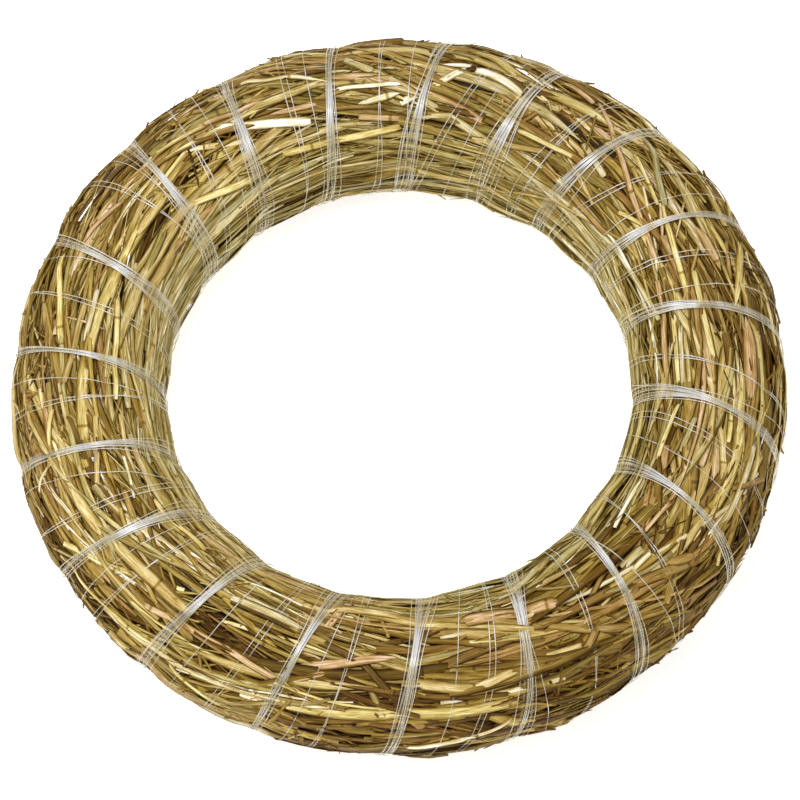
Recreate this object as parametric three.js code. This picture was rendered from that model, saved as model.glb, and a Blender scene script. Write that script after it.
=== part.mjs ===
// A straw wreath base: a roll of dry straw bent into a ring and bound with clear thread.
// Units are millimetres and +Z is up. The origin is the centre of the ring, on the
// surface that the wreath lies on.
//
// Every surface is laid out on one lattice that is wrapped round the roll. Stations run
// round the ring, rows run round the roll's section, and a level is the height above the
// full round roll. The thread goes once round the ring while it winds round the roll, so
// the rows climb with it: the last row meets the first row one turn of thread further on.
import * as THREE from "three";

// Overall sizes
const outerDiameter = 300; // over the straw
const rollDiameter = 60; // thickness of the roll of straw
const footWidth = 17; // flat that the straw takes where it lies

// The straw
const hankWidth = 10.7; // the hanks that show as ridges along the roll
const hankUnevenness = 1; // how much lower some hanks lie than others
const valleyDepth = 2.4; // between the hanks
const hankDrift = 6; // how far the hanks wander sideways along the ring
const driftCount = 3; // times that they wander out and back
const lumpDepth = 1.2; // slow thinning of the roll between its fullest places
const lumpCount = 7; // full places round the ring
const stalkCount = 22; // whole stalks that lie on the outside
const stalkLength = 85;
const stalkLengthSpread = 17; // by which the longest and the shortest differ from that
const stalkWidth = 6;
const stalkTopWidth = 4; // flattened, with sloping sides
const stalkTipWidth = 3.6;
const stalkThickness = 1.2;
const hanksToNextStalk = 7; // the stalks are dealt out over the hanks in these steps
const ringToNextStalk = 0.382; // and round the ring in these shares of a full turn

// The thread, whose filaments lie side by side as a flat band
const threadPitch = 39.7; // from turn to turn, along the middle of the roll
const threadWidth = 4.6;
const threadThickness = 0.6;
const waistDepth = 2.2; // how far the thread draws the straw in
const firstTurnAngle = THREE.MathUtils.degToRad(-2.5);
const threadWander = THREE.MathUtils.degToRad(2); // the turns crowd on one side of the ring
const wanderDirection = THREE.MathUtils.degToRad(10);

const clearance = 0.3; // air between pieces that touch

// The round section and its foot
const rollRadius = rollDiameter / 2;
const ringRadius = (outerDiameter - rollDiameter) / 2;
const footHalfAngle = Math.asin(footWidth / 2 / rollRadius);
const archAngle = 2 * (Math.PI - footHalfAngle);
const centreHeight = rollRadius * Math.cos(footHalfAngle);

// The lattice: each hank is a ridge row with a valley row beside it
const hankCount = Math.round((archAngle * rollRadius) / hankWidth);
const archRows = 2 * hankCount;
const footRows = 4;
const rows = archRows + footRows;
const turns = Math.round((2 * Math.PI * ringRadius) / threadPitch);
const stationsPerTurn = 4;
const stations = turns * stationsPerTurn;
const rowLength = (archAngle * rollRadius) / archRows;
const threadDip = (2 * rowLength) ** 2 / (8 * rollRadius); // it runs straight from hank to hank
const bedDepth = stalkThickness + clearance + threadDip; // a stalk in its bed clears the thread

// A repeatable random number from 0 to 1 for a place on the lattice.
function scatter(a, b) {
  let bits = Math.imul(a + 1, 374761393) ^ Math.imul(b + 1, 668265263);
  bits = Math.imul(bits ^ (bits >>> 13), 1274126177);
  return ((bits ^ (bits >>> 16)) >>> 0) / 2 ** 32;
}

function isFoot(row) {
  return row <= 0 || row >= archRows;
}

// How far along the arch a row is, from 0 at the outer edge of the foot to 1 at the inner one.
function archShare(row) {
  return THREE.MathUtils.clamp(row / archRows, 0, 1);
}

// Where a row lies on the section, from the middle of the roll, and the way out of the straw.
function sectionAt(row) {
  if (row > archRows) {
    const across = footWidth * ((row - archRows) / footRows - 0.5);
    return { place: new THREE.Vector2(across, -centreHeight), out: new THREE.Vector2(0, -1) };
  }
  const angle = footHalfAngle - Math.PI / 2 + (archAngle * row) / archRows;
  const out = new THREE.Vector2(Math.cos(angle), Math.sin(angle));
  return { place: out.clone().multiplyScalar(rollRadius), out };
}

// The direction of a lattice place round the ring.
function angleAt(station, row) {
  const even = 2 * Math.PI * (station / stations + row / rows / turns);
  return even + firstTurnAngle + threadWander * Math.cos(even - wanderDirection);
}

// The slow lumps of the roll. They fade out towards the foot, which stays flat.
function lumpLevel(angle, row) {
  const share = archShare(row);
  const wave = 0.5 + 0.5 * Math.sin(lumpCount * angle + 2 * Math.PI * share);
  return -lumpDepth * wave * Math.sin(Math.PI * share);
}

// The row whose place a row takes once the hanks have wandered. The foot's edges stay put.
function driftedRow(angle, row) {
  const wave = Math.sin(driftCount * angle) * Math.sin(Math.PI * archShare(row));
  return row + (hankDrift / rowLength) * wave;
}

// The point of the lattice at a level, which is measured from the lumpy round roll.
function latticePoint(station, row, level) {
  const angle = angleAt(station, row);
  const { place, out } = sectionAt(driftedRow(angle, row));
  place.addScaledVector(out, level + lumpLevel(angle, row));
  const reach = ringRadius + place.x;
  return new THREE.Vector3(
    reach * Math.cos(angle),
    reach * Math.sin(angle),
    centreHeight + place.y,
  );
}

// Distance between two stations along the ring, at a row.
function stationLength(row) {
  return (2 * Math.PI * (ringRadius + sectionAt(row).place.x)) / stations;
}

// The level of the hanks' tops where nothing is uneven: drawn in under the thread.
function hankLevel(station) {
  return station % stationsPerTurn === 0 ? -waistDepth : 0;
}

// The faces between neighbouring rings of points. vertexAt numbers the vertex of a ring and
// a side, also one past the last, where the surface closes on itself.
function facesBetween(gaps, sides, vertexAt) {
  const faces = [];
  for (let ring = 0; ring < gaps; ring += 1) {
    for (let side = 0; side < sides; side += 1) {
      const a = vertexAt(ring, side);
      const b = vertexAt(ring + 1, side);
      const c = vertexAt(ring + 1, side + 1);
      const d = vertexAt(ring, side + 1);
      faces.push(a, b, c, a, c, d);
    }
  }
  return faces;
}

function geometryFrom(rings, faces) {
  const positions = rings.flat().flatMap((point) => point.toArray());
  const geometry = new THREE.BufferGeometry();
  geometry.setAttribute("position", new THREE.Float32BufferAttribute(positions, 3));
  geometry.setIndex(faces);
  geometry.computeVertexNormals();
  return geometry;
}

// Places for the whole stalks: each takes the first free stretch of its hank, with a station
// to spare at both ends. The stretch is kept in beds, where the hank makes way for the stalk.
const beds = new Set();
function bedKey(station, row) {
  return `${station % stations},${row}`;
}

function placeStalks() {
  const placed = [];
  const startStep = Math.round(stations * ringToNextStalk);
  for (let n = 0; n < stalkCount; n += 1) {
    const row = 2 * (1 + ((n * hanksToNextStalk) % (hankCount - 1)));
    const length = stalkLength + stalkLengthSpread * (2 * scatter(n, row) - 1);
    const steps = Math.round(length / stationLength(row));
    const isFree = (from) => {
      for (let station = from - 1; station <= from + steps + 1; station += 1) {
        if (beds.has(bedKey(station, row))) return false;
      }
      return true;
    };
    const start = 1 + ((n * startStep) % stations);
    let first = start;
    while (!isFree(first) && first < start + stations) first += 1;
    for (let station = first; station <= first + steps; station += 1) {
      beds.add(bedKey(station, row));
    }
    placed.push({ row, first, last: first + steps });
  }
  return placed;
}

// The straw itself: hanks with valleys between them, drawn in at every turn of the thread.
function strawGeometry() {
  const level = (station, row) => {
    const tops = hankLevel(station);
    if (isFoot(row)) return tops;
    if (beds.has(bedKey(station, row))) return tops - bedDepth;
    if (row % 2 === 1) return tops - valleyDepth;
    return tops < 0 ? tops : tops - hankUnevenness * scatter(station, row);
  };
  const rings = Array.from({ length: stations }, (_, station) =>
    Array.from({ length: rows }, (_, row) => latticePoint(station, row, level(station, row))));
  const vertexAt = (station, row) => {
    const climbed = row === rows ? stationsPerTurn : 0;
    return ((station + climbed) % stations) * rows + (row % rows);
  };
  return geometryFrom(rings, facesBetween(stations, rows, vertexAt));
}

// The thread: a flat band that lies on the hanks and bridges the valleys. Its underside
// clears the straw that rises on both sides of the waist.
function threadGeometry() {
  const ridgeRows = [];
  for (let row = 0; row <= archRows; row += 2) ridgeRows.push(row);
  ridgeRows.push(archRows + footRows / 2);
  const rings = [];
  for (let turn = 0; turn < turns; turn += 1) {
    for (const row of ridgeRows) {
      const half = threadWidth / 2 / stationLength(row);
      const under = waistDepth * (half - 1) + clearance;
      const over = under + threadThickness;
      const station = turn * stationsPerTurn;
      rings.push([
        latticePoint(station - half, row, under),
        latticePoint(station + half, row, under),
        latticePoint(station + half, row, over),
        latticePoint(station - half, row, over),
      ]);
    }
  }
  const sides = rings[0].length;
  const vertexAt = (ring, side) => (ring % rings.length) * sides + (side % sides);
  return geometryFrom(rings, facesBetween(rings.length, sides, vertexAt));
}

// One whole stalk, pressed flat in its bed, with narrower ends.
function stalkGeometry({ row, first, last }) {
  const rings = [];
  for (let station = first; station <= last; station += 1) {
    const width = station === first || station === last ? stalkTipWidth : stalkWidth;
    const side = width / 2 / rowLength;
    const topSide = (side * stalkTopWidth) / stalkWidth;
    const sag = width ** 2 / (8 * rollRadius); // keeps the flat underside off the round bed
    const under = hankLevel(station) - bedDepth + clearance + sag;
    const over = under + stalkThickness - sag;
    rings.push([
      latticePoint(station, row - side, under),
      latticePoint(station, row - topSide, over),
      latticePoint(station, row + topSide, over),
      latticePoint(station, row + side, under),
    ]);
  }
  const sides = rings[0].length;
  const end = (rings.length - 1) * sides;
  const faces = facesBetween(rings.length - 1, sides, (ring, side) => ring * sides + (side % sides));
  for (let side = 1; side < sides - 1; side += 1) {
    faces.push(0, side, side + 1);
    faces.push(end, end + side + 1, end + side);
  }
  return geometryFrom(rings, faces);
}

const strawMaterial = new THREE.MeshStandardMaterial({ color: 0xb39a58, roughness: 0.7, metalness: 0 });
const stalkMaterial = new THREE.MeshStandardMaterial({ color: 0xdccb8e, roughness: 0.55, metalness: 0 });
const threadMaterial = new THREE.MeshStandardMaterial({
  color: 0xd9d8cf,
  roughness: 0.25,
  metalness: 0,
  transparent: true,
  opacity: 0.6,
});

function namedMesh(name, geometry, material) {
  const mesh = new THREE.Mesh(geometry, material);
  mesh.name = name;
  return mesh;
}

const stalks = placeStalks();
const wreath = new THREE.Group();
wreath.add(namedMesh("straw_roll", strawGeometry(), strawMaterial));
wreath.add(namedMesh("binding_thread", threadGeometry(), threadMaterial));
stalks.forEach((stalk, n) => {
  const name = `outer_stalk_${String(n + 1).padStart(2, "0")}`;
  wreath.add(namedMesh(name, stalkGeometry(stalk), stalkMaterial));
});

export default wreath;
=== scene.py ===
import math

import bpy
import numpy as np
from mathutils import Matrix, Vector


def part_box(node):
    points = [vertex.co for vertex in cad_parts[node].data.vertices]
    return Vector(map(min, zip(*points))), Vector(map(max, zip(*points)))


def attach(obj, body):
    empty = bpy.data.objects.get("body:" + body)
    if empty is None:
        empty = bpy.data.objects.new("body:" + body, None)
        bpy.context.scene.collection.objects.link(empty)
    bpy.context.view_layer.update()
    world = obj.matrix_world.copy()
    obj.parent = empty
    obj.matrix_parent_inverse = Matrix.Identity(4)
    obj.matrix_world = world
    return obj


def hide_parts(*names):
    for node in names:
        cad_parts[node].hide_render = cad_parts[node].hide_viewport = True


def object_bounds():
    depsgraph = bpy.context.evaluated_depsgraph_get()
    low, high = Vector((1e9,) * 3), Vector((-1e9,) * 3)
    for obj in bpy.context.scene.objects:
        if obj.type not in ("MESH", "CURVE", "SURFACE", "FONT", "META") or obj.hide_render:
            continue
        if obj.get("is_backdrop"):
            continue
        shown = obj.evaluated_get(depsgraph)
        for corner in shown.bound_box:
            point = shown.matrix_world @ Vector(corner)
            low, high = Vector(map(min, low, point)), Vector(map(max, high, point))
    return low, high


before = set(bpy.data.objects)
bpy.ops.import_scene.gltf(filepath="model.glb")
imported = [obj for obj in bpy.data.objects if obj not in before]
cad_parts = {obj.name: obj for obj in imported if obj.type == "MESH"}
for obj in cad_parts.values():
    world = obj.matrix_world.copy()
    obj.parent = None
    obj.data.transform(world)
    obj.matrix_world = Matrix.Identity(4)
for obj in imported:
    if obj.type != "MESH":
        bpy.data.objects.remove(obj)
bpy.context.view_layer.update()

# The view
# The wreath lies flat and is seen from the front and well above, through a long lens from
# over two metres away. The camera is turned a little, as in the photograph.
straw_low, straw_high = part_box("straw_roll")
straw_breadth = 297.9  # of the solid roll with its waists, in mm
mm = (straw_high.x - straw_low.x) / straw_breadth  # a millimetre of the object, in metres
ring_radius = 120.0  # in mm, of the circle that the middle of the roll follows
roll_radius = 30.0
foot_width = 17.0  # of the flat that the roll lies on
centre_height = math.sqrt(roll_radius ** 2 - (foot_width / 2) ** 2)

view_elevation = math.radians(64.88)
view_turn = math.radians(2.45)
view_distance = 2282 * mm
picture_side = 800
pixels_to_mm = 0.38802  # at the middle of the ring
ring_middle_pixel = (398.5, 389.3)

lens = bpy.data.cameras.new("view")
lens.sensor_width = 36
lens.lens = lens.sensor_width * view_distance / (picture_side * pixels_to_mm * mm)
lens.clip_end = 20
camera = bpy.data.objects.new("view", lens)
bpy.context.scene.collection.objects.link(camera)
bpy.context.scene.camera = camera
towards_camera = Vector((0, -math.cos(view_elevation), math.sin(view_elevation)))
turned = towards_camera.to_track_quat("Z", "Y").to_matrix() @ Matrix.Rotation(-view_turn, 3, "Z")
off_centre = Vector((
    (picture_side - 1) / 2 - ring_middle_pixel[0],
    ring_middle_pixel[1] - (picture_side - 1) / 2,
    0,
)) * pixels_to_mm * mm
ring_middle = Vector((0, 0, centre_height * mm))
camera.matrix_world = Matrix.Translation(
    ring_middle + towards_camera * view_distance + turned @ off_centre
) @ turned.to_4x4()

# The floor and the light
# A plain pale floor under soft studio light: one light from nearly overhead on the left, a
# weaker one lower on the left in front, and an even warm surround that fills the shadows.
bpy.context.scene.view_settings.view_transform = "Standard"
floor_mesh = bpy.data.meshes.new("floor")
floor_half = 4.0
floor_mesh.from_pydata(
    [(-floor_half, -floor_half, 0), (floor_half, -floor_half, 0),
     (floor_half, floor_half, 0), (-floor_half, floor_half, 0)],
    [], [(0, 1, 2, 3)],
)
floor = bpy.data.objects.new("floor", floor_mesh)
bpy.context.scene.collection.objects.link(floor)
floor.location.z = -0.0005
floor_paint = bpy.data.materials.new("pale floor")
floor_paint.use_nodes = True
floor_shader = floor_paint.node_tree.nodes["Principled BSDF"]
floor_shader.inputs["Base Color"].default_value = (0.93, 0.93, 0.93, 1)
floor_shader.inputs["Roughness"].default_value = 0.9
floor_shader.inputs["Specular IOR Level"].default_value = 0.1
floor_shader.inputs["Emission Color"].default_value = (0.97, 0.98, 1, 1)
floor_shader.inputs["Emission Strength"].default_value = 0.7
floor_mesh.materials.append(floor_paint)
floor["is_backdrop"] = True

surround = bpy.data.worlds.new("warm surround")
surround.use_nodes = True
surround.node_tree.nodes["Background"].inputs["Color"].default_value = (1, 0.97, 0.90, 1)
surround.node_tree.nodes["Background"].inputs["Strength"].default_value = 0.55
bpy.context.scene.world = surround


def add_soft_light(name, azimuth, elevation, distance, side, power):
    """A square soft light that shines on the middle of the wreath."""
    azimuth, elevation = math.radians(azimuth), math.radians(elevation)
    place = Vector((
        math.sin(azimuth) * math.cos(elevation),
        -math.cos(azimuth) * math.cos(elevation),
        math.sin(elevation),
    )) * distance
    light = bpy.data.lights.new(name, "AREA")
    light.size = side
    light.energy = power
    holder = bpy.data.objects.new(name, light)
    bpy.context.scene.collection.objects.link(holder)
    facing = place.to_track_quat("Z", "Y").to_matrix()
    holder.matrix_world = Matrix.Translation(place) @ facing.to_4x4()


add_soft_light("key light", -45, 80, 1.7, 0.35, 20)
add_soft_light("side light", -60, 40, 1.8, 0.9, 4)

# The core of the roll
# The inner mass of straw, pressed so tightly that it shows only in the gaps between the outer
# straws. Its colour is a painted shade, near-black brown, for those gaps. The thread draws it
# in where it crosses.
turns = 19
foot_half_angle = math.asin(foot_width / 2 / roll_radius)
arch_share = 32 / 36  # of one turn's advance, the rest is under the foot
first_turn = math.radians(-2.5)
wander = math.radians(2)
wander_direction = math.radians(10)
left_shift = math.radians(2.3)
left_middle, left_breadth = math.radians(184), math.radians(32)
# heights and depths on the roll in mm, and how far they reach along it from the thread
lump_height, hank_height = 0.35, 0.7
pressed_share, pressed_reach = 0.8, 9  # the hanks are pressed together near the thread
waist_depth, waist_reach = 0.3, 5.5
wide_waist_depth, wide_waist_reach = 0.1, 12
dip_depth, dip_reach = 0.42, 4  # of the straws right under the thread
floor_height = 4  # below which the straw is pressed flat
core_depth, core_unevenness = 4.6, 0.35
rng = np.random.default_rng(65)


def bell(values, middle, breadth):
    """1 at the middle, fading to 0 over a breadth to both sides."""
    return np.exp(-((values - middle) / breadth) ** 2)


def wandered(even):
    """How far a turn is from its even place round the ring: the turns crowd on one side, and
    those on the left lie a little further on."""
    on_the_left = bell(np.mod(even, 2 * math.pi), left_middle, left_breadth)
    return wander * np.cos(even - wander_direction) + left_shift * on_the_left


def turn_share(across):
    """How far a turn of the thread has come at a place across the roll, from 0 to 1."""
    arch = 2 * (math.pi - foot_half_angle)
    start = foot_half_angle - math.pi / 2
    run = np.mod(across - start, 2 * math.pi)
    in_foot = np.clip((run - arch) / (2 * foot_half_angle), 0, 1)
    return np.where(run < arch, arch_share * run / arch, arch_share + (1 - arch_share) * in_foot)


def from_thread(around, across):
    """Turns of thread between a place on the roll and the nearest main turn, -0.5 to 0.5."""
    even = around - first_turn
    for _ in range(3):
        even = around - first_turn - wandered(even)
    phase = even * turns / (2 * math.pi) - turn_share(across)
    return phase - np.round(phase)


def reach(across):
    """Distance from the ring's axis to the round surface of the roll, in mm."""
    return ring_radius + roll_radius * np.cos(across)


def thread_nearness(around, across, width):
    """1 on a main turn of the thread, fading to 0 over a width in mm."""
    distance = from_thread(around, across) * 2 * math.pi * reach(across) / turns
    return bell(distance, 0, width)


lump_waves = list(zip(rng.integers(3, 26, 14), rng.integers(-4, 5, 14), rng.uniform(0, 6.3, 14)))
hank_waves = list(zip(rng.integers(-9, 10, 12), rng.integers(9, 22, 12), rng.uniform(0, 6.3, 12)))


def waves(around, across, kinds):
    """Uneven waves over the roll, from about -1 to 1."""
    return sum(np.sin(a * around + b * across + c) for a, b, c in kinds) / math.sqrt(len(kinds))


def roll_point(around, across, level, follow=1.0):
    """The place in metres at a level in mm above the bound roll. follow is how closely it
    keeps to the bumps, from 0 for what is pulled straight over them to 1."""
    loose = 1 - pressed_share * thread_nearness(around, across, pressed_reach)
    bound = (
        level
        + follow * lump_height * waves(around, across, lump_waves)
        + follow * hank_height * waves(around, across, hank_waves) * loose
        - waist_depth * thread_nearness(around, across, waist_reach)
        - follow * dip_depth * thread_nearness(around, across, dip_reach)
        - wide_waist_depth * thread_nearness(around, across, wide_waist_reach)
    )
    radius = ring_radius + (roll_radius + bound) * np.cos(across)
    height = centre_height + (roll_radius + bound) * np.sin(across)
    pressed = floor_height * np.exp(np.minimum(height / floor_height - 1, 0))
    height = np.where(height < floor_height, pressed, height)
    return np.stack([radius * np.cos(around), radius * np.sin(around), height], -1) * mm


def wall_corners(count, rings, sides, closed):
    """Corners of the four-cornered faces between neighbouring rings of points, for a count of
    tubes one after the other. A closed tube runs on into its own start."""
    tube = np.arange(count)[:, None, None] * rings * sides
    ring = np.arange(rings if closed else rings - 1)[None, :, None]
    side = np.arange(sides)[None, None, :]
    next_ring, next_side = (ring + 1) % rings, (side + 1) % sides
    return np.stack([
        tube + ring * sides + side,
        tube + next_ring * sides + side,
        tube + next_ring * sides + next_side,
        tube + ring * sides + next_side,
    ], -1).reshape(-1)


def mesh_object(name, points, corners, material, starts=None):
    """A smooth mesh object from points and the corners of its faces. All faces have four
    corners, unless starts says where each face starts in the corners."""
    if starts is None:
        starts = np.arange(0, len(corners), 4)
    points = points.reshape(-1, 3)
    mesh = bpy.data.meshes.new(name)
    mesh.vertices.add(len(points))
    mesh.vertices.foreach_set("co", np.asarray(points, np.float32).ravel())
    mesh.loops.add(len(corners))
    mesh.loops.foreach_set("vertex_index", np.asarray(corners, np.int32))
    mesh.polygons.add(len(starts))
    mesh.polygons.foreach_set("loop_start", np.asarray(starts, np.int32))
    mesh.polygons.foreach_set("use_smooth", np.ones(len(starts), bool))
    mesh.update(calc_edges=True)
    mesh.validate()
    mesh.materials.append(material)
    made = bpy.data.objects.new(name, mesh)
    bpy.context.scene.collection.objects.link(made)
    return made


def add_node(tree, kind, **values):
    """A shader node, with its settings and the values of its inputs, or the links to them."""
    made = tree.nodes.new("ShaderNode" + kind)
    for key, value in values.items():
        if key.startswith("set_"):
            setattr(made, key[4:], value)
            continue
        name = key.replace("_", " ")
        socket = made.inputs[int(name[3:])] if name.startswith("in ") else made.inputs[name]
        if isinstance(value, bpy.types.NodeSocket):
            tree.links.new(value, socket)
        else:
            socket.default_value = value
    return made


def new_material(name):
    """A node material, its tree and its Principled BSDF."""
    material = bpy.data.materials.new(name)
    material.use_nodes = True
    return material, material.node_tree, material.node_tree.nodes["Principled BSDF"]


def mapped(tree, value, before, after):
    """A value moved from one pair of limits to another by a Map Range node."""
    return add_node(
        tree, "MapRange", Value=value, From_Min=before[0], From_Max=before[1],
        To_Min=after[0], To_Max=after[1],
    ).outputs["Result"]


core_material, tree, shader = new_material("dark inner straw")
place = add_node(tree, "TexCoord").outputs["Object"]
clumps = add_node(tree, "TexNoise", Vector=place, Scale=260.0, Detail=4.0).outputs["Fac"]
# painted shade: the core is coloured near-black brown, for the shadow in the gaps between the outer
# straws
shades = add_node(tree, "ValToRGB", Fac=clumps)
shades.color_ramp.elements[0].position = 0.35
shades.color_ramp.elements[0].color = (0.012, 0.008, 0.004, 1)
shades.color_ramp.elements[1].position = 0.75
shades.color_ramp.elements[1].color = (0.10, 0.062, 0.022, 1)
tree.links.new(shades.outputs["Color"], shader.inputs["Base Color"])
relief = add_node(tree, "Bump", Height=clumps, Strength=0.8, Distance=0.001)
tree.links.new(relief.outputs["Normal"], shader.inputs["Normal"])
tree.links.new(mapped(tree, clumps, (0, 1), (0.75, 0.95)), shader.inputs["Roughness"])

core_stations, core_rows = 304, 60
around, across = np.meshgrid(
    np.arange(core_stations) * 2 * math.pi / core_stations,
    np.arange(core_rows) * 2 * math.pi / core_rows,
    indexing="ij",
)
core_level = -core_depth + rng.normal(0, core_unevenness, around.shape)
core = mesh_object(
    "core", roll_point(around, across, core_level),
    wall_corners(1, core_stations, core_rows, closed=True), core_material)
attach(core, "root")
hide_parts("straw_roll")

# The straw's finish
# Dry cereal straw: flattened hollow stalks and leaf blades with fine ribs along them, from
# pale cream over gold and pinkish tan to olive and brown, waxy on the outside.
grain = bpy.data.node_groups.new("straw grain", "ShaderNodeTree")
for name, start in [("Ribs", 5.0), ("Blotches", 0.5), ("Darkness", 0.0)]:
    socket = grain.interface.new_socket(name=name, in_out="INPUT", socket_type="NodeSocketFloat")
    socket.default_value = start
for name, kind in [("Colour", "Color"), ("Roughness", "Float"), ("Height", "Float")]:
    grain.interface.new_socket(name=name, in_out="OUTPUT", socket_type="NodeSocket" + kind)
given = grain.nodes.new("NodeGroupInput").outputs
result = grain.nodes.new("NodeGroupOutput")

# straw_place holds mm across the straw, mm along it, and the straw's own number from 0 to 1.
# straw_tone holds its greenness, its brightness, which carries painted light and shade, and half its
# width in mm.
where = add_node(grain, "Attribute", set_attribute_name="straw_place").outputs["Vector"]
parts = add_node(grain, "SeparateXYZ", Vector=where).outputs
tone = add_node(grain, "Attribute", set_attribute_name="straw_tone").outputs["Vector"]
tones = add_node(grain, "SeparateXYZ", Vector=tone).outputs

palette = add_node(grain, "ValToRGB", Fac=parts["Z"])
straw_colours = [
    (0.00, (0.058, 0.032, 0.005)),  # dark brown
    (0.08, (0.175, 0.095, 0.014)),  # brown
    (0.20, (0.370, 0.230, 0.060)),  # tan
    (0.32, (0.580, 0.380, 0.185)),  # pinkish tan
    (0.42, (0.400, 0.275, 0.075)),  # old gold
    (0.56, (0.550, 0.408, 0.150)),  # gold
    (0.70, (0.690, 0.545, 0.190)),  # yellow
    (0.82, (0.270, 0.205, 0.045)),  # olive
    (0.90, (0.710, 0.595, 0.330)),  # straw white
    (1.00, (0.880, 0.795, 0.540)),  # pale cream
]
ramp = palette.color_ramp
while len(ramp.elements) < len(straw_colours):
    ramp.elements.new(0.5)
for element, (position, colour) in zip(ramp.elements, straw_colours):
    element.position = position
    element.color = (*colour, 1)


def maths(tree, operation, *values):
    """The result of a Math node for values or for what other nodes put out."""
    inputs = {f"in_{n}": value for n, value in enumerate(values)}
    return add_node(tree, "Math", set_operation=operation, **inputs).outputs[0]


def straw_noise(across, along, own, detail, roughness):
    """A noise over the straws, scaled across and along them. A straw's own number, times own,
    gives it a stretch of the noise that no other straw has."""
    where = add_node(
        grain, "CombineXYZ", X=maths(grain, "MULTIPLY", parts["X"], across),
        Y=maths(grain, "MULTIPLY", parts["Y"], along), Z=maths(grain, "MULTIPLY", parts["Z"], own),
    ).outputs[0]
    noise = add_node(grain, "TexNoise", Vector=where, Scale=1.0, Detail=detail, Roughness=roughness)
    return noise.outputs["Fac"]


# long thin ribs along the straw, and slow changes of colour
ribs = straw_noise(given["Ribs"], 0.12, 173.0, detail=3.0, roughness=0.6)
blotches = straw_noise(0.35, 0.07, 391.0, detail=4.0, roughness=0.65)
blotch_shade = mapped(grain, blotches, (0.3, 0.7), (-1.0, 1.0))
# a dark joint now and then along the stalk
joint_gap = 130  # mm
joint_offset = maths(grain, "MULTIPLY", parts["Z"], 61.0)
joint_place = maths(grain, "MULTIPLY_ADD", parts["Y"], 1 / joint_gap, joint_offset)
from_joint = maths(grain, "PINGPONG", joint_place, 0.5)
# painted shade: the edges of a straw are painted darker than its back, for the shade between
# neighbouring straws
from_middle = maths(grain, "ABSOLUTE", parts["X"])
edge_share = maths(grain, "DIVIDE", from_middle, tones["Z"])

shade = mapped(grain, ribs, (0.32, 0.68), (0.4, 1.32))
for part in (
    maths(grain, "MULTIPLY_ADD", blotch_shade, given["Blotches"], 1.0),
    maths(grain, "SUBTRACT", 1.0, given["Darkness"]),
    tones["Y"],
    mapped(grain, from_joint, (0.002, 0.007), (0.5, 1.0)),
    mapped(grain, edge_share, (0.4, 1.0), (1.1, 0.38)),
):
    shade = maths(grain, "MULTIPLY", shade, part)
greened = add_node(
    grain, "Mix", set_data_type="RGBA", Factor=tones["X"],
    in_6=palette.outputs["Color"], in_7=(0.27, 0.245, 0.075, 1),
).outputs[2]
# what is darker, by its own tone or by painted shade, is browner too
shade_colour = add_node(
    grain, "CombineXYZ", X=shade,
    Y=maths(grain, "POWER", shade, 1.28), Z=maths(grain, "POWER", shade, 2.4),
).outputs[0]
shaded = add_node(grain, "VectorMath", set_operation="MULTIPLY", in_0=greened, in_1=shade_colour)
grain.links.new(shaded.outputs[0], result.inputs["Colour"])
grain.links.new(mapped(grain, ribs, (0, 1), (0.45, 0.75)), result.inputs["Roughness"])
grain.links.new(ribs, result.inputs["Height"])


def straw_material(name, ribs, blotches, darkness, relief_mm):
    """A straw finish with its own fineness of ribs, strength of blotches and darkness."""
    material, tree, shader = new_material(name)
    look = tree.nodes.new("ShaderNodeGroup")
    look.node_tree = grain
    look.inputs["Ribs"].default_value = ribs
    look.inputs["Blotches"].default_value = blotches
    look.inputs["Darkness"].default_value = darkness
    relief = add_node(
        tree, "Bump", Height=look.outputs["Height"], Strength=0.7, Distance=relief_mm * mm)
    tree.links.new(look.outputs["Colour"], shader.inputs["Base Color"])
    tree.links.new(look.outputs["Roughness"], shader.inputs["Roughness"])
    tree.links.new(relief.outputs["Normal"], shader.inputs["Normal"])
    shader.inputs["Specular IOR Level"].default_value = 0.16
    return material


# The straws of the roll
# Thousands of stalks and leaf blades that run along the roll in hanks, pressed under the
# thread. They lie in layers, and every hank has its own slant across the others.
stalk_section = [(1, 0), (0.62, 0.7), (0.05, 1), (-0.6, 0.72), (-1, 0), (0, -0.6)]
blade_section = [(1, 0.2), (0.45, 0.75), (0.02, 0.2), (-0.4, 0.8), (-1, 0.15), (0, -0.4)]
stem_section = [(1, 0), (0, 1), (-1, 0), (0, -1)]
fibre_section = [(1, -0.5), (0, 1), (-1, -0.5)]


def side_and_up(along, around, across):
    """Directions across a straw or filament, level with the roll's surface and out of it."""
    out = np.stack(
        [np.cos(across) * np.cos(around), np.cos(across) * np.sin(around), np.sin(across)], -1)
    side = np.cross(along, out)
    side /= np.linalg.norm(side, axis=2)[..., None]
    return side, np.cross(side, along)


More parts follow.
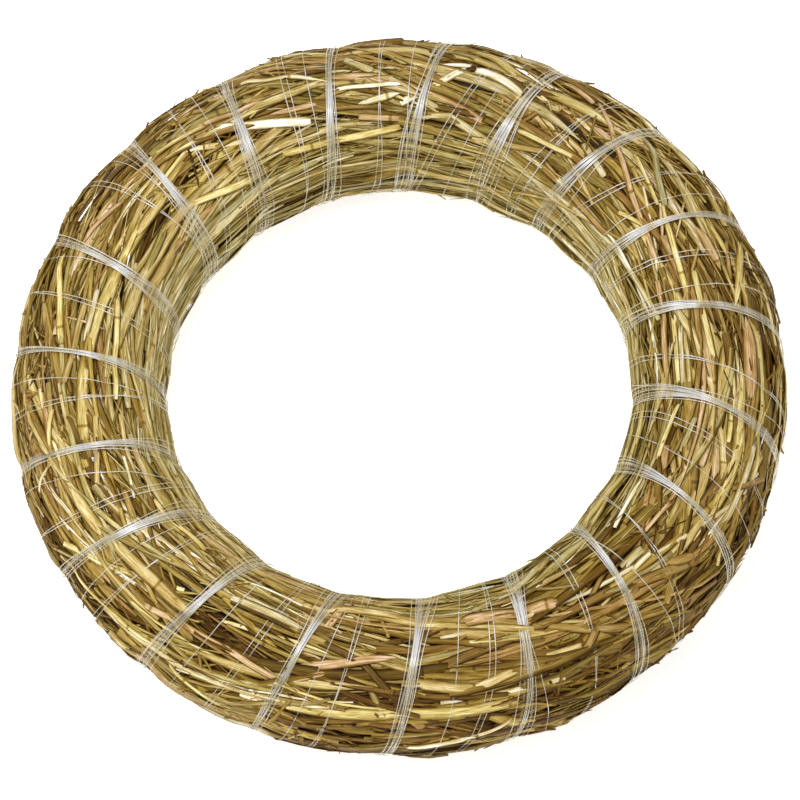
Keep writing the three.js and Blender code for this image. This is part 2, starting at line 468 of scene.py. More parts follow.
def lay_straws(
    name, section, around, across, level, half_width, half_thickness, twist, tint, tone,
    material, follow=1.0,
):
    """One mesh of many straws. The arrays have a row for each straw and a column for each
    station along it, in mm and radians. tint is each straw's own number, which is its place on
    the straw colours, and tone its greenness and brightness."""
    count, stations = around.shape
    centre = roll_point(around, across, level, follow)
    along = np.gradient(centre, axis=1)
    steps = np.linalg.norm(along, axis=2)
    along /= steps[..., None]
    side, up = side_and_up(along, around, across)
    cos, sin = np.cos(twist)[..., None], np.sin(twist)[..., None]
    side, up = cos * side + sin * up, cos * up - sin * side
    section = np.array(section, float)
    sides = len(section)
    a = section[:, 0][None, None, :, None] * half_width[..., None, None]
    b = section[:, 1][None, None, :, None] * half_thickness[..., None, None]
    points = centre[:, :, None, :] + (side[:, :, None, :] * a + up[:, :, None, :] * b) * mm
    points[..., 2] = np.maximum(points[..., 2], 0.1 * mm)

    walls = wall_corners(count, stations, sides, closed=False)
    cap = np.arange(count)[:, None] * stations * sides + np.arange(sides)
    first_cap, last_cap = cap.reshape(-1), (cap[:, ::-1] + (stations - 1) * sides).reshape(-1)
    cap_starts = len(walls) + np.arange(2 * count) * sides
    made = mesh_object(
        name, points, np.concatenate([walls, first_cap, last_cap]), material,
        np.concatenate([np.arange(0, len(walls), 4), cap_starts]))

    run = np.cumsum(steps, axis=1) / mm
    place = np.empty((count, stations, sides, 3))
    place[..., 0] = section[:, 0] * half_width[..., None]
    place[..., 1] = run[..., None]
    place[..., 2] = tint[:, None, None]
    tones = np.array(np.broadcast_to(tone[:, None, None, :], place.shape))
    tones[..., 2] = np.max(half_width, axis=1)[:, None, None]
    for label, values in [("straw_place", place), ("straw_tone", tones)]:
        layer = made.data.attributes.new(label, "FLOAT_VECTOR", "POINT")
        layer.data.foreach_set("vector", np.ascontiguousarray(values, np.float32).ravel())
    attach(made, "root")
    return made


def across_by_area(count):
    """Places across the roll, as many to the square millimetre everywhere."""
    tries = rng.uniform(-math.pi, math.pi, count * 3)
    keep = rng.uniform(0, ring_radius + roll_radius, count * 3) < reach(tries)
    return tries[keep][:count]


def wall_share(across):
    """How far a place is on the inner wall of the ring, 0 to 1, and on the outer wall."""
    inner = np.clip((-np.cos(across) - 0.15) / 0.6, 0, 1)
    outer = np.clip((np.cos(across) - 0.35) / 0.5, 0, 1)
    return inner, outer


def hanks_of_straw(hanks, per_hank, slant, spread, length, width):
    """Places, slants and sizes of straws that run in hanks. slant is the spread of the
    hanks' angles across the roll in degrees, and spread that of the straws to the side of
    their hank's middle in mm. length and width are (middle, spread, least, most) in mm."""
    spread_along = 16  # mm
    own_slant = 4.5  # degrees
    hank_around = rng.uniform(0, 2 * math.pi, hanks)
    hank_across = across_by_area(hanks)
    inner = wall_share(hank_across)[0]
    common_slant = 0.16 * np.sin(2 * hank_around + hank_across + 0.7) * (1 - 0.6 * inner)
    hank_slant = np.radians(rng.normal(0, slant, hanks)) * (1 - 0.7 * inner) + common_slant
    hank_tint = rng.uniform(-0.12, 0.12, hanks)
    hank_shade = np.clip(rng.normal(0.97, 0.3 - 0.16 * inner), 0.35, 1.5)
    hank = np.repeat(np.arange(hanks), per_hank)
    count = len(hank)
    further = rng.normal(0, spread_along, count)
    aside = rng.normal(0, spread, count)
    around = hank_around[hank] + further / reach(hank_across[hank])
    across = hank_across[hank] + (aside + further * np.sin(hank_slant[hank])) / roll_radius
    angle = hank_slant[hank] + np.radians(rng.normal(0, own_slant, count))
    long, wide = [
        np.clip(np.exp(rng.normal(math.log(middle), uneven, count)), least, most)
        for middle, uneven, least, most in (length, width)
    ]
    inner, outer = wall_share(across)
    wide *= 1 - 0.3 * inner
    long *= 1 - 0.35 * outer
    return around, across, angle, long, wide, hank_tint[hank], hank_shade[hank]


def straightened(around, across, share, stiffness):
    """Paths over the roll drawn towards the straight line between their ends, as seen from
    outside the roll: none of the way for a stiffness of 0, all of it for 1. share is how far
    along its straw each place is."""
    first, last = [
        np.stack([reach(c) * np.cos(a), reach(c) * np.sin(a), roll_radius * np.sin(c)], -1)
        for a, c in [(around[:, 0], across[:, 0]), (around[:, -1], across[:, -1])]
    ]
    share = share[..., None]
    x, y, z = np.moveaxis(first[:, None] * (1 - share) + last[:, None] * share, 2, 0)
    turned = np.arctan2(y, x) - around
    moved = np.arctan2(z, np.hypot(x, y) - ring_radius) - across
    turned, moved = [np.mod(by + math.pi, 2 * math.pi) - math.pi for by in (turned, moved)]
    return around + stiffness * turned, across + stiffness * moved


def straw_paths(around, across, angle, length, stations, bend):
    """How far along its straw each place is, from -1 to 1, and the paths of the straws over
    the roll, one row for each straw. Where a straw crosses the thread, a place lies right
    under it."""
    count = len(around)
    around, across, angle, length = [each[:, None] for each in (around, across, angle, length)]
    bends = rng.normal(0, bend, (count, 1))
    kinked_share = 0.08
    is_kinked = rng.uniform(0, 1, (count, 1)) < kinked_share
    kink = np.where(is_kinked, rng.normal(0, 0.2, (count, 1)), 0)
    kink_at = rng.uniform(-0.3, 0.3, (count, 1)) * length
    sway, sway_start = rng.normal(0, 0.18, (count, 1)), rng.uniform(0, 6.3, (count, 1))
    stiffness = rng.uniform(0, 0.6, (count, 1))

    def course(t):
        s = t * length / 2
        aside = s * np.sin(angle) + bends * s ** 2 + kink * np.abs(s - kink_at)
        path_across = across + (aside + sway * np.sin(2.5 * t + sway_start)) / roll_radius
        path_around = around + s * np.cos(angle) / reach(path_across)
        return straightened(path_around, path_across, (t + 1) / 2, stiffness)

    t = np.linspace(-1, 1, stations)[None, :] + 0 * length
    path_around, path_across = course(t)
    # the place nearest to a crossing of the thread is moved along the straw, right under it
    step = 2 / (stations - 1)
    beyond = from_thread(path_around, path_across) * 2 * math.pi * reach(path_across) / turns
    moved = t - beyond / (np.maximum(np.cos(angle), 0.5) * length / 2)
    t = np.where((np.abs(moved - t) < step / 2) & (np.abs(t) < 0.99), moved, t)
    return t, *course(t)


def width_along(t, is_pointed):
    """Width along a straw as a share of its full width: cut off or drawn out to points."""
    cut = np.where(np.abs(t) > 0.97, 0.8, 1.0)
    drawn = np.clip(1.0 - np.clip((np.abs(t) - 0.25) / 0.75, 0, 1) ** 1.6, 0.06, 1)
    return np.where(is_pointed[:, None], drawn, cut)


def lifted_end(t, share, least, most, start):
    """How far in mm each place of a straw is lifted off the roll. A share of the straws have
    one end lifted, by least to most, and the lift starts that far along from their middle."""
    count = len(t)
    lift = np.where(rng.uniform(0, 1, count) < share, rng.uniform(least, most, count), 0)
    which_end = np.sign(rng.normal(0, 1, count))
    return lift[:, None] * np.clip((t * which_end[:, None] - start) / (1 - start), 0, 1) ** 2


def straw_tints(count, hank_tint, across, choices):
    """A place on the straw colours for each straw. choices are (place, spread, weight), and
    brown straws are rare on the inner wall."""
    centres, spreads, weights = zip(*choices)
    pick = rng.choice(len(centres), count, p=np.array(weights) / sum(weights))
    tint = np.array(centres)[pick] + rng.normal(0, 1, count) * np.array(spreads)[pick]
    tint = np.clip(tint + hank_tint * 0.4, 0.0, 1.0)
    paler = (tint < 0.4) & (rng.uniform(0, 0.8, count) < wall_share(across)[0])
    return np.where(paler, 0.5 + tint / 3, tint)


def straw_tones(around, across, level_shade):
    """Greenness and brightness of straws: the inner wall is greener and more even. The
    brightness holds painted light and shade: the inner wall is painted lighter, and the outer wall,
    the front of the ring and its back darker and so browner."""
    inner, outer = wall_share(across)
    green = np.clip(0.02 + 0.36 * inner + rng.normal(0, 0.14, len(across)), 0, 0.85)
    front = np.clip(-np.sin(around - 0.25), 0, 1) ** 2
    back = np.clip(np.sin(around), 0, 1)
    # painted light and shade for how the light falls on the ring: the inner wall lighter, the outer
    # wall, the front and the back darker
    painted_wall_light_and_shade = 0.955 * (1 + inner * (0.33 - 0.13 * np.cos(around) - 0.19 * back))
    painted_wall_light_and_shade *= (1 - 0.22 * outer) * (1 - 0.36 * front) * (1 - 0.06 * back)
    bright = np.clip(level_shade * painted_wall_light_and_shade * rng.normal(1.0, 0.24 - 0.12 * inner), 0.25, 1.5)
    return np.stack([green, bright, np.zeros(len(across))], -1)


usual_tints = [
    (0.06, 0.05, 0.8), (0.22, 0.05, 1.3), (0.34, 0.03, 1.0), (0.48, 0.05, 2.2), (0.60, 0.05, 2.6),
    (0.72, 0.03, 1.6), (0.82, 0.02, 0.9), (0.90, 0.03, 0.8), (0.98, 0.02, 0.25),
]
under_thread = 7  # mm from the thread within which straws lie flat and untwisted
layers = [
    # name, (hanks, straws in each, slant, spread), (lowest and highest level), brightness,
    # which is a painted shade that darkens the deeper layers, section, (usual length and width),
    # stations
    ("deep_stalks", (150, 10, 10, 6.5), (-4.6, -3.0), 0.23, stem_section, (70, 2.9), 7),
    ("middle_blades", (145, 9, 10, 6.0), (-3.1, -1.8), 0.50, blade_section, (76, 2.9), 9),
    ("upper_stalks", (128, 8, 8, 5.5), (-1.9, -0.7), 0.97, stalk_section, (76, 2.8), 10),
    ("outer_blades", (92, 7, 8, 6.0), (-0.9, -0.1), 1.15, blade_section, (68, 3.4), 10),
    ("long_stalks", (70, 5, 6, 3.5), (-1.0, 0.0), 1.12, stalk_section, (118, 1.9), 14),
]
stalk_finish = straw_material("ribbed straw", 5.0, 0.32, 0.0, 0.25)
for name, hank_sizes, (low, high), bright, section, (long, wide), stations in layers:
    around, across, angle, length, width, hank_tint, hank_shade = hanks_of_straw(
        *hank_sizes, (long, 0.38, 24, 160), (wide, 0.42, 1.2, 6.3))
    count = len(around)
    t, path_around, path_across = straw_paths(around, across, angle, length, stations, 0.0006)
    near = thread_nearness(path_around, path_across, under_thread)
    level = rng.uniform(low, high, count)[:, None] + lifted_end(t, 0.25, 0.3, 1.6, 0.55) * (1 - near)
    pointed_share, thickness_share = (0.6, 0.17) if section is blade_section else (0.15, 0.27)
    profile = width_along(t, rng.uniform(0, 1, count) < pointed_share)
    twist = rng.normal(0, 16, (count, 1)) + rng.normal(0, 14, (count, 1)) * t  # degrees
    half_thickness = thickness_share * width[:, None] ** 0.6 * np.clip(profile * 1.4, 0.15, 1)
    tint = straw_tints(count, hank_tint, across, usual_tints)
    lay_straws(
        name, section, path_around, path_across, level, width[:, None] / 2 * profile,
        half_thickness, np.radians(twist) * (1 - 0.7 * near), tint,
        straw_tones(around, across, bright * hank_shade), stalk_finish)

# Thin stems, fibres and chips
# Leaf stems, split fibres and short chopped bits that fill the gaps between the stalks and
# stick out a little all over, most of all low on the outer wall.
fine_finish = straw_material("fine straw", 7.0, 0.28, 0.05, 0.12)
fine_layers = [
    # name, (hanks, straws in each, slant, spread, length, width), (lowest and highest level),
    # (share lifted, most lift), section, stations
    ("stems", (220, 9, 13, 6, (52, 0.45, 18, 115), (1.0, 0.25, 0.6, 1.6)),
     (-2.9, -0.3), (0.3, 1.4), stem_section, 7),
    ("fibres", (220, 9, 18, 7, (32, 0.5, 10, 85), (0.5, 0.2, 0.3, 0.8)),
     (-2.4, 0.1), (0.4, 1.8), fibre_section, 6),
    ("chips", (200, 6, 34, 8, (11, 0.4, 5, 22), (1.7, 0.35, 0.7, 3.2)),
     (-2.2, -0.1), (0.5, 1.2), stem_section, 4),
    ("stray_tips", (230, 4, 30, 9, (19, 0.35, 9, 38), (0.9, 0.4, 0.4, 2.2)),
     (-1.6, -0.4), (0.9, 2.6), stem_section, 6),
]
for name, hank_sizes, (low, high), (share, lift), section, stations in fine_layers:
    around, across, angle, length, width, hank_tint, hank_shade = hanks_of_straw(*hank_sizes)
    count = len(around)
    if name in ("chips", "stray_tips"):  # three in ten are moved to the outer wall
        is_moved = rng.uniform(0, 1, count) < 0.3
        across = np.where(is_moved, rng.uniform(-0.5, 0.8, count), across)
    t, path_around, path_across = straw_paths(around, across, angle, length, stations, 0.002)
    near = thread_nearness(path_around, path_across, under_thread)
    level = rng.uniform(low, high, count)[:, None] + lifted_end(t, share, 0.2, lift, 0.3) * (1 - near)
    half_width = width[:, None] / 2 * np.where(np.abs(t) > 0.97, 0.6, 1.0)
    flatness = 0.35 if name == "chips" else 0.85
    twist = np.radians(rng.normal(0, 25, (count, 1)) + 0 * t)
    tint = straw_tints(count, hank_tint, across, usual_tints)
    # painted shade: the deeper a fine straw lies, the darker it is painted
    bright = 0.3 + 0.75 * (level.mean(1) - low) / (high - low)  # what lies deep is dark
    lay_straws(
        name, section, path_around, path_across, level, half_width, half_width * flatness,
        twist, tint, straw_tones(around, across, bright * hank_shade), fine_finish)

# Curled bits
# Short split bits that curled up as they dried. They sit in small nests on the roll, mostly
# brown, and point every way.
nests = np.radians([
    # around, across
    (176, 54), (183, 34), (190, 22), (228, 118), (237, 50), (246, 40),
    (128, 100), (66, 98), (14, 42), (292, 46), (300, 62), (318, 90),
])
bits_in_nest = 10
nest_spread = 4.5  # mm
brown_tints = [(0.07, 0.04, 2), (0.2, 0.05, 2), (0.34, 0.03, 1), (0.56, 0.05, 1.2)]
nest = np.repeat(np.arange(len(nests)), bits_in_nest)
count = len(nest)
across = nests[nest, 1] + rng.normal(0, nest_spread, count) / roll_radius
around = nests[nest, 0] + rng.normal(0, nest_spread, count) / reach(across)
length = rng.uniform(7, 20, count)
t, path_around, path_across = straw_paths(
    around, across, rng.uniform(-1.5, 1.5, count), length, stations=7, bend=0.025)
level = rng.uniform(-1.2, 0.1, count)[:, None] - 1.2 * thread_nearness(path_around, path_across, 6)
half_width = rng.uniform(0.4, 1.2, count)[:, None] * (1 - 0.6 * np.abs(t) ** 3)
lay_straws(
    "curled_bits", stem_section, path_around, path_across, level, half_width, 0.35 * half_width,
    np.radians(rng.normal(0, 30, (count, 1)) + rng.normal(0, 20, (count, 1)) * t),
    straw_tints(count, 0, across, brown_tints),
    straw_tones(around, across, 0.95), fine_finish)

# The whole outer stalks
# Long flattened stalks that lie on the outside and show from end to end, held down by the
# thread. Each follows the course of its solid.
stalk_nodes = sorted(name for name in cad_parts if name.startswith("outer_stalk_"))
stalk_stations = 26
paths_around, paths_across = [], []
ring_gap = math.radians(1.5)  # the solids' rings of corners lie further apart than this


def gathered(angles):
    """Angles round their mean direction, so that none jumps by a full circle."""
    middle = math.atan2(np.sin(angles).mean(), np.cos(angles).mean())
    return middle + np.mod(angles - middle + math.pi, 2 * math.pi) - math.pi


for node in stalk_nodes:
    spots = np.array([corner.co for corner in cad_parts[node].data.vertices]) / mm
    spot_around = gathered(np.arctan2(spots[:, 1], spots[:, 0]))
    from_middle = np.hypot(spots[:, 0], spots[:, 1]) - ring_radius
    spot_across = gathered(np.arctan2(spots[:, 2] - centre_height, from_middle))
    order = np.argsort(spot_around)
    rings = np.split(order, np.nonzero(np.diff(spot_around[order]) > ring_gap)[0] + 1)
    share, knots = np.linspace(0, 1, stalk_stations), np.linspace(0, 1, len(rings))
    paths_around.append(np.interp(share, knots, [spot_around[ring].mean() for ring in rings]))
    paths_across.append(np.interp(share, knots, [spot_across[ring].mean() for ring in rings]))
path_around, path_across = np.array(paths_around), np.array(paths_across)
count = len(stalk_nodes)
t = np.linspace(-1, 1, stalk_stations)[None, :]
near = thread_nearness(path_around, path_across, under_thread)
width = rng.uniform(3.6, 5.6, (count, 1)) * (1 + 0.08 * np.sin(3 * t + rng.uniform(0, 6, (count, 1))))
profile = width_along(t, np.arange(count) % 2 == 0)
twist = rng.normal(0, 8, (count, 1)) + rng.normal(0, 10, (count, 1)) * t  # degrees
whole = lay_straws(
    "whole_stalks", blade_section, path_around, path_across, -0.95 + 1.1 * (1 - near) + 0 * t,
    width / 2 * profile, 0.42 * np.clip(profile * 1.5, 0.2, 1),
    np.radians(twist) * (1 - 0.7 * near), rng.choice([0.36, 0.5, 0.58, 0.66, 0.74, 0.87], count),
    np.tile([0.08, 1.02, 0], (count, 1)), stalk_finish, follow=0.7)
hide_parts(*stalk_nodes)

# The telling straws
# Single blades and stalks that stand out by their size, colour or slant: wide gold blades,
# pale split stalks, a kinked stalk with its brown knot. They lie loose over the hanks, under
# the thread.
telling_straws = [
    # around and across at one end and at the other in degrees, width in mm, place on the
    # straw colours, brightness, greenness, 1 for pointed ends
    # the back, left of the middle
    (106.0, 112.0, 122.4, 87.0, 4.2, 1.00, 1.30, 0.00, 0),
    (98.0, 79.5, 118.4, 85.0, 4.6, 0.60, 1.15, 0.35, 1),
    (120.0, 135.5, 141.6, 112.5, 3.4, 0.70, 1.20, 0.00, 0),
    (87.2, 126.0, 114.0, 128.0, 3.2, 0.70, 1.15, 0.00, 0),
    (156.8, 49.5, 177.2, 71.5, 3.2, 0.70, 1.15, 0.00, 0),
    (164.4, 107.0, 186.4, 111.0, 2.6, 0.72, 1.20, 0.00, 0),
    (137.2, 98.5, 151.2, 101.0, 4.6, 0.58, 1.10, 0.00, 1),
    (144.8, 129.0, 165.6, 130.5, 5.5, 0.52, 1.00, 0.00, 1),
    (145.6, 76.0, 155.6, 62.0, 2.4, 0.33, 1.15, 0.00, 0),
    (102.8, 100.5, 113.2, 96.0, 3.0, 0.34, 1.10, 0.00, 1),
    (132.0, 56.0, 142.4, 51.0, 3.2, 0.04, 1.00, 0.00, 0),
    (124.4, 78.5, 136.4, 66.5, 2.8, 0.60, 1.10, 0.00, 0),
    (87.2, 93.5, 101.6, 90.0, 2.0, 1.00, 1.20, 0.00, 0),
    (87.2, 100.5, 96.0, 106.5, 3.6, 0.95, 1.10, 0.00, 1),
    (87.2, 120.0, 96.0, 116.5, 3.0, 0.36, 1.10, 0.00, 0),
    (102.4, 78.5, 114.8, 56.0, 2.2, 0.90, 1.10, 0.00, 0),
    (166.4, 84.5, 182.0, 74.5, 3.0, 0.46, 1.10, 0.00, 0),
    (134.0, 131.0, 150.4, 129.5, 2.8, 0.26, 1.00, 0.00, 0),
    (145.6, 115.5, 157.2, 120.5, 3.6, 0.80, 1.10, 0.40, 0),
    (122.4, 121.5, 132.4, 125.0, 2.6, 0.60, 1.10, 0.00, 0),
    (163.2, 91.0, 174.0, 89.5, 2.6, 0.88, 1.10, 0.00, 0),
    (167.6, 143.5, 185.6, 136.0, 3.2, 0.54, 1.10, 0.00, 0),
    (145.6, 97.0, 162.0, 99.5, 2.4, 0.70, 1.10, 0.00, 0),
    # the back, right of the middle, and the right side
    (61.6, 71.5, 75.6, 49.0, 4.9, 0.64, 1.05, 0.10, 0),
    (48.8, 69.5, 63.6, 70.5, 5.7, 0.64, 1.00, 0.10, 1),
    (75.6, 74.0, 87.2, 108.0, 3.8, 0.97, 1.10, 0.00, 0),
    (62.8, 83.0, 74.0, 72.0, 4.2, 0.96, 1.10, 0.00, 0),
    (74.0, 70.5, 75.6, 75.0, 2.6, 0.02, 1.00, 0.00, 0),
    (53.2, 59.5, 60.0, 53.0, 2.6, 0.34, 1.10, 0.00, 0),
    (20.8, 113.0, 52.4, 57.0, 2.7, 0.34, 1.15, 0.00, 0),
    (30.4, 90.5, 41.2, 76.5, 2.0, 0.72, 1.15, 0.00, 0),
    (11.6, 100.5, 30.4, 87.5, 2.8, 0.72, 1.20, 0.00, 0),
    (348.0, 111.5, 370.4, 114.0, 2.6, 0.72, 1.20, 0.00, 0),
    (356.4, 87.5, 375.2, 90.5, 3.0, 0.74, 1.20, 0.00, 0),
    (14.4, 69.0, 23.6, 74.0, 4.4, 0.36, 1.05, 0.00, 1),
    (7.2, 65.5, 20.0, 42.0, 4.2, 0.64, 1.00, 0.00, 1),
    (49.2, 109.0, 62.4, 111.0, 2.4, 0.74, 1.20, 0.00, 0),
    (29.6, 86.0, 45.2, 47.5, 3.4, 0.84, 1.25, 0.60, 0),
    (55.6, 117.5, 71.2, 128.5, 2.8, 0.50, 1.10, 0.00, 0),
    (69.6, 109.5, 81.6, 109.0, 2.6, 0.06, 1.00, 0.00, 0),
    (26.8, 40.0, 45.2, 37.0, 2.6, 0.90, 1.10, 0.10, 0),
    (12.8, 26.5, 19.2, 36.5, 3.0, 0.04, 1.00, 0.00, 0),
    (348.0, 108.0, 364.8, 110.5, 2.6, 0.88, 1.10, 0.20, 0),
    (348.0, 120.5, 376.0, 118.5, 3.0, 0.36, 1.05, 0.00, 0),
    (41.6, 106.5, 49.6, 95.5, 3.4, 0.90, 1.00, 0.50, 0),
    (47.6, 104.5, 51.6, 66.0, 0.9, 0.80, 0.80, 0.30, 0),
    (26.0, 103.0, 34.0, 117.0, 2.0, 0.70, 1.10, 0.00, 0),
    (74.4, 67.5, 85.6, 73.0, 2.6, 0.92, 1.15, 0.00, 0),
    (31.6, 136.0, 54.0, 127.5, 3.0, 0.22, 0.95, 0.00, 0),
    (22.4, 29.0, 34.0, 18.5, 2.4, 0.60, 1.00, 0.00, 0),
    # the front, left of the middle
    (200.4, 60.5, 212.4, 63.5, 5.1, 0.60, 1.15, 0.00, 1),
    (212.0, 66.5, 230.8, 67.5, 5.3, 0.57, 1.10, 0.00, 0),
    (224.0, 52.5, 239.2, 59.0, 2.8, 0.36, 1.25, 0.00, 0),
    (238.8, 60.0, 252.4, 47.0, 2.8, 0.36, 1.25, 0.00, 0),
    (232.8, 92.5, 252.8, 91.5, 3.8, 0.90, 1.10, 0.35, 1),
    (254.0, 95.0, 257.6, 127.5, 4.0, 0.27, 1.15, 0.00, 0),
    (236.0, 92.0, 262.4, 75.5, 3.0, 0.05, 1.00, 0.00, 0),
    (261.6, 77.0, 268.0, 48.0, 3.2, 0.05, 1.00, 0.00, 0),
    (248.4, 59.0, 268.4, 81.5, 4.6, 0.32, 1.10, 0.00, 1),
    (250.4, 53.0, 256.8, 66.5, 2.6, 0.33, 1.10, 0.00, 1),
    (207.2, 17.0, 220.8, 26.0, 2.0, 0.72, 1.15, 0.00, 0),
    (220.0, 25.5, 230.8, 28.5, 2.2, 0.72, 1.15, 0.00, 0),
    (231.6, 22.5, 241.2, 9.0, 2.2, 0.72, 1.10, 0.00, 0),
    (223.6, 104.0, 251.6, 110.5, 1.6, 1.00, 1.20, 0.00, 0),
    (193.2, 56.0, 197.6, 30.5, 1.5, 1.00, 1.10, 0.00, 0),
    (194.4, 107.0, 208.0, 98.5, 1.4, 0.97, 1.15, 0.00, 0),
    (208.0, 109.0, 216.0, 101.0, 2.8, 0.12, 1.00, 0.00, 1),
    (210.0, 110.5, 225.2, 114.0, 2.6, 0.68, 1.15, 0.00, 0),
    (205.6, 94.5, 216.4, 84.0, 3.0, 0.40, 1.00, 0.00, 0),
    (248.4, 113.5, 268.4, 116.0, 4.0, 0.60, 1.15, 0.00, 0),
    (186.4, 63.5, 196.0, 41.5, 3.0, 0.66, 1.10, 0.00, 0),
    (189.6, 94.0, 202.4, 79.5, 2.6, 0.58, 1.10, 0.00, 0),
    (240.8, 12.0, 250.8, 9.0, 3.0, 0.80, 1.20, 0.00, 0),
    # the front, right of the middle
    (243.6, 28.5, 254.0, 31.5, 2.2, 0.92, 1.10, 0.00, 0),
    (324.0, 42.5, 345.6, 46.0, 3.6, 0.90, 1.10, 0.30, 0),
    (308.8, 73.0, 322.0, 47.5, 4.6, 0.16, 1.00, 0.00, 0),
    (295.6, 81.0, 310.4, 74.5, 4.2, 0.12, 1.00, 0.00, 0),
    (274.8, 72.0, 296.4, 81.0, 4.4, 0.10, 1.00, 0.00, 0),
    (280.8, 103.0, 298.0, 90.0, 5.5, 0.34, 1.05, 0.00, 0),
    (268.4, 62.5, 280.4, 51.5, 4.6, 0.52, 1.20, 0.00, 0),
    (279.6, 52.5, 291.6, 59.5, 4.0, 0.55, 1.15, 0.00, 0),
    (290.8, 60.5, 298.0, 56.0, 2.8, 0.58, 1.20, 0.00, 0),
    (296.8, 47.5, 301.6, 61.5, 3.4, 0.14, 1.20, 0.00, 0),
    (300.4, 63.0, 308.4, 41.0, 3.8, 0.14, 1.20, 0.00, 1),
    (302.8, 80.0, 309.2, 92.5, 2.2, 0.14, 1.00, 0.00, 0),
    (317.2, 64.5, 322.4, 50.5, 4.0, 0.20, 1.10, 0.00, 1),
    (334.4, 114.0, 347.6, 111.5, 2.4, 0.74, 1.20, 0.00, 0),
    (341.6, 69.0, 349.2, 70.0, 2.2, 0.72, 1.20, 0.00, 0),
    (326.8, 99.0, 332.0, 99.0, 2.8, 0.34, 1.15, 0.00, 0),
    (319.6, 92.0, 326.8, 89.0, 2.2, 0.34, 1.15, 0.00, 0),
    (311.6, 85.5, 316.8, 85.0, 4.2, 0.88, 0.95, 0.25, 0),
    (312.8, 78.5, 316.8, 78.0, 2.2, 0.90, 1.00, 0.00, 0),
    (316.8, 112.0, 334.0, 118.0, 2.2, 0.92, 1.15, 0.00, 0),
    (268.0, 3.0, 277.6, 9.5, 2.6, 0.98, 1.15, 0.00, 0),
    (277.2, 9.5, 285.2, 20.0, 2.2, 0.95, 1.10, 0.00, 0),
    (334.8, 53.5, 340.0, 26.0, 2.8, 0.16, 1.10, 0.00, 0),
    (337.2, 99.5, 344.8, 96.5, 2.6, 0.84, 1.20, 0.30, 0),
    (335.6, 81.5, 346.0, 80.0, 3.0, 0.34, 1.10, 0.00, 0),
    (288.4, 41.0, 293.2, 57.0, 3.4, 0.06, 1.00, 0.00, 0),
]
told = np.array(telling_straws, float)
count, stations = len(told), 18
share = np.linspace(0, 1, stations)[None, :]
path_around, path_across = straightened(
    np.radians(told[:, [0]] * (1 - share) + told[:, [2]] * share),
    np.radians(told[:, [1]] * (1 - share) + told[:, [3]] * share), share, 1.0)
t = 2 * share - 1
near = thread_nearness(path_around, path_across, under_thread)
profile = width_along(t, told[:, 8] > 0)
width, bright, green = told[:, [4]], told[:, 6], 0.7 * told[:, 7]
level = 0.5 - 1.35 * near + rng.uniform(-0.2, 0.2, (count, 1)) - 0.6 * t ** 4  # dips under the thread
twist = rng.normal(0, 8, (count, 1)) + rng.normal(0, 7, (count, 1)) * t  # degrees
lay_straws(
    "telling_straws", blade_section, path_around, path_across, level, width / 2 * profile,
    0.2 * width ** 0.6 * np.clip(profile * 1.5, 0.2, 1), np.radians(twist) * (1 - 0.7 * near),
    told[:, 5], np.stack([green, bright, 0 * bright], -1), stalk_finish, follow=0.95)

# The binding thread
# Clear plastic filaments, pulled tight round the roll in nineteen turns that run on into each
# other. The bunch is narrow on the crest, where it lies as a film, and fans out down both
# walls. A pair and a single filament wind round between its turns.
thread_material, tree, shader = new_material("clear thread")
place = add_node(tree, "TexCoord").outputs["Object"]
cloud = add_node(tree, "TexNoise", Vector=place, Scale=90.0, Detail=3.0).outputs["Fac"]
tint_ramp = add_node(tree, "ValToRGB", Fac=cloud)
tint_ramp.color_ramp.elements[0].position = 0.3
tint_ramp.color_ramp.elements[0].color = (0.94, 0.93, 0.9, 1)
tint_ramp.color_ramp.elements[1].position = 0.7
tint_ramp.color_ramp.elements[1].color = (0.99, 0.985, 1.0, 1)
shown = add_node(tree, "Attribute", set_attribute_name="thread_show_and_glint").outputs["Fac"]
# painted light: what shows least is tinged with the straw's yellow, as if lit through by the straw
# under it, and the painted glint, which shows most, is nearly white
tinged = add_node(
    tree, "Mix", set_data_type="RGBA", Factor=mapped(tree, shown, (0.3, 0.46), (0, 1)),
    in_6=(0.92, 0.86, 0.66, 1), in_7=tint_ramp.outputs["Color"],
).outputs[2]
tree.links.new(tinged, shader.inputs["Base Color"])
clouded = mapped(tree, cloud, (0.3, 0.7), (0.5, 1.25))
tree.links.new(maths(tree, "MULTIPLY", clouded, shown), shader.inputs["Alpha"])
tree.links.new(mapped(tree, cloud, (0, 1), (0.1, 0.3)), shader.inputs["Roughness"])
ripples = add_node(tree, "TexNoise", Vector=place, Scale=700.0, Detail=2.0).outputs["Fac"]
relief = add_node(tree, "Bump", Height=ripples, Strength=0.3, Distance=0.05 * mm)
tree.links.new(relief.outputs["Normal"], shader.inputs["Normal"])
shader.inputs["IOR"].default_value = 1.58
shader.inputs["Specular IOR Level"].default_value = 1.0


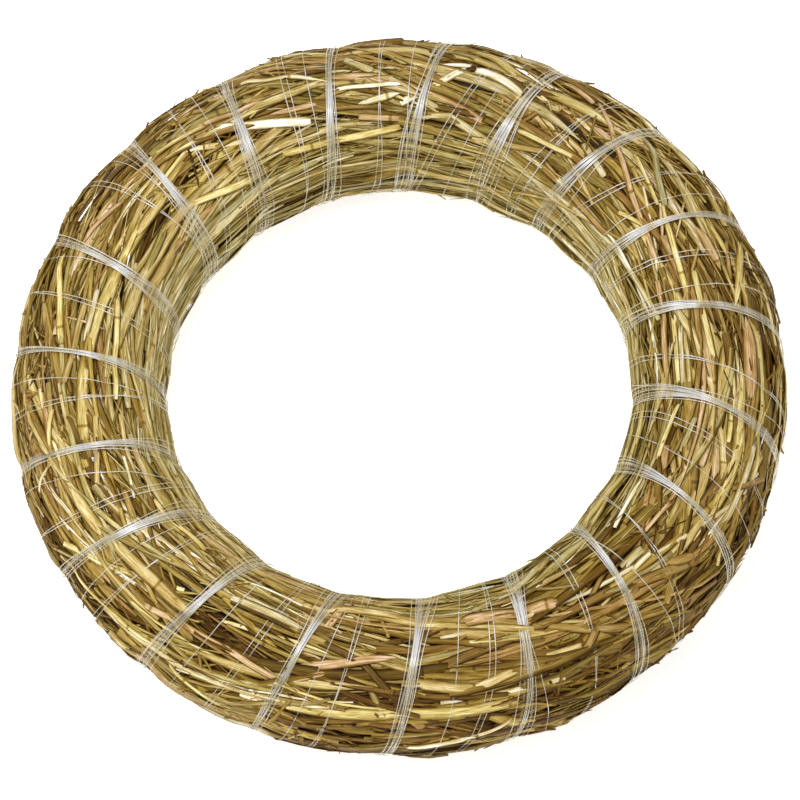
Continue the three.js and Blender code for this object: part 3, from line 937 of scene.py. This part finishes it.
def filament_paths(count, offset, crest_spread, wall_spread, straying, seed):
    """Closed helices of filaments. offset is in turns from the main bunch, the spreads are
    the half width in mm that they fill on the crest and down the inner wall, and straying is
    how far they wander in it."""
    draw = np.random.default_rng(seed)
    steps_in_turn = 56
    steps = turns * steps_in_turn
    wound = np.arange(steps) / steps_in_turn  # turns of thread
    share = wound % 1
    start = foot_half_angle - math.pi / 2
    arch = 2 * (math.pi - foot_half_angle)
    across = np.where(
        share < arch_share, start + arch * share / arch_share,
        start + arch + 2 * foot_half_angle * (share - arch_share) / (1 - arch_share))
    crest = bell(across, math.radians(80), math.radians(38))
    circle = 2 * math.pi * wound / turns
    wall = wall_spread * (0.85 - 0.15 * np.cos(across))  # widest on the inner wall
    spread = (wall + (crest_spread - wall) * crest) * (1 + 0.3 * np.sin(5 * circle + 2.2))
    rank = np.linspace(-1, 1, count)[:, None] if count > 1 else np.zeros((1, 1))
    stray = sum(
        draw.normal(0, straying, (count, 1))
        * np.sin(int(waves_round) * circle + draw.uniform(0, 6.3, (count, 1)))
        for waves_round in draw.integers(4, 26, 10))
    shift_mm = (rank * 0.8 + stray) * spread[None, :]
    around = circle[None, :] + first_turn + wandered(circle)[None, :]
    around = around + (shift_mm / reach(across)) + offset * 2 * math.pi / turns
    return around, np.broadcast_to(across, around.shape)


def wind_filaments(name, around, across, level, half_width, half_thickness, show_and_glint_limits):
    """Closed filaments, one row of places for each. They show least down the walls and more on the
    crest, where they lie on each other, and most at a painted glint, where they are made more opaque
    and whiter as the key light would catch them."""
    count, steps = around.shape
    crest = bell(across, math.radians(95), math.radians(45))
    centre = roll_point(around, across, level - 0.25 * (1 - crest), 0.35)
    along = np.roll(centre, -1, 1) - np.roll(centre, 1, 1)
    along /= np.linalg.norm(along, axis=2)[..., None]
    side, up = side_and_up(along, around, across)
    sides = 4
    turn = np.arange(sides) * 2 * math.pi / sides
    points = centre[:, :, None, :] + mm * (
        half_width * side[:, :, None, :] * np.cos(turn)[:, None]
        + half_thickness * up[:, :, None, :] * np.sin(turn)[:, None])
    made = mesh_object(name, points, wall_corners(count, steps, sides, closed=True), thread_material)
    # painted highlight: the glint's place across the roll shifts round the ring with the direction of
    # the key light
    glint_at = np.radians(99 + 9 * np.cos(around) + 10 * np.sin(around))
    glint = bell(across, glint_at, math.radians(15))
    least, most = show_and_glint_limits
    shown = least + (most - least) * (0.25 * crest + 0.75 * glint)
    shown *= 0.9 + 0.22 * waves(around, across, hank_waves)
    layer = made.data.attributes.new("thread_show_and_glint", "FLOAT", "POINT")
    layer.data.foreach_set("value", np.repeat(shown.ravel(), sides).astype(np.float32))
    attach(made, "root")
    return made


around, across = filament_paths(
    7, offset=0.0, crest_spread=1.9, wall_spread=4.2, straying=0.2, seed=5)
bunch = wind_filaments(
    "thread_bunch", around, across, 0.75 + rng.uniform(-0.1, 0.25, (7, 1)) + 0 * around,
    half_width=0.18, half_thickness=0.15, show_and_glint_limits=(0.33, 0.62))
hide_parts("binding_thread")
around, across = filament_paths(
    5, offset=0.0, crest_spread=0.85, wall_spread=2.6, straying=0.1, seed=11)
wind_filaments(
    "thread_film", around, across, 0.65 + 0.05 * np.arange(5)[:, None] + 0 * around,
    half_width=0.42, half_thickness=0.07, show_and_glint_limits=(0.05, 0.7))
(pair, across), (single, _) = [
    filament_paths(1, offset, crest_spread=4.0, wall_spread=5.0, straying=0.5, seed=seed)
    for offset, seed in ((0.5, 8), (0.26, 21))
]
beside = 2.4 * np.cos(4 * pair - across) / reach(across)  # the pair cross each other
around = np.concatenate([pair, pair + beside, single])
wind_filaments(
    "thread_between", around, np.broadcast_to(across, around.shape), 0.85 + 0 * around,
    half_width=0.19, half_thickness=0.13, show_and_glint_limits=(0.34, 0.65))

low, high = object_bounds()
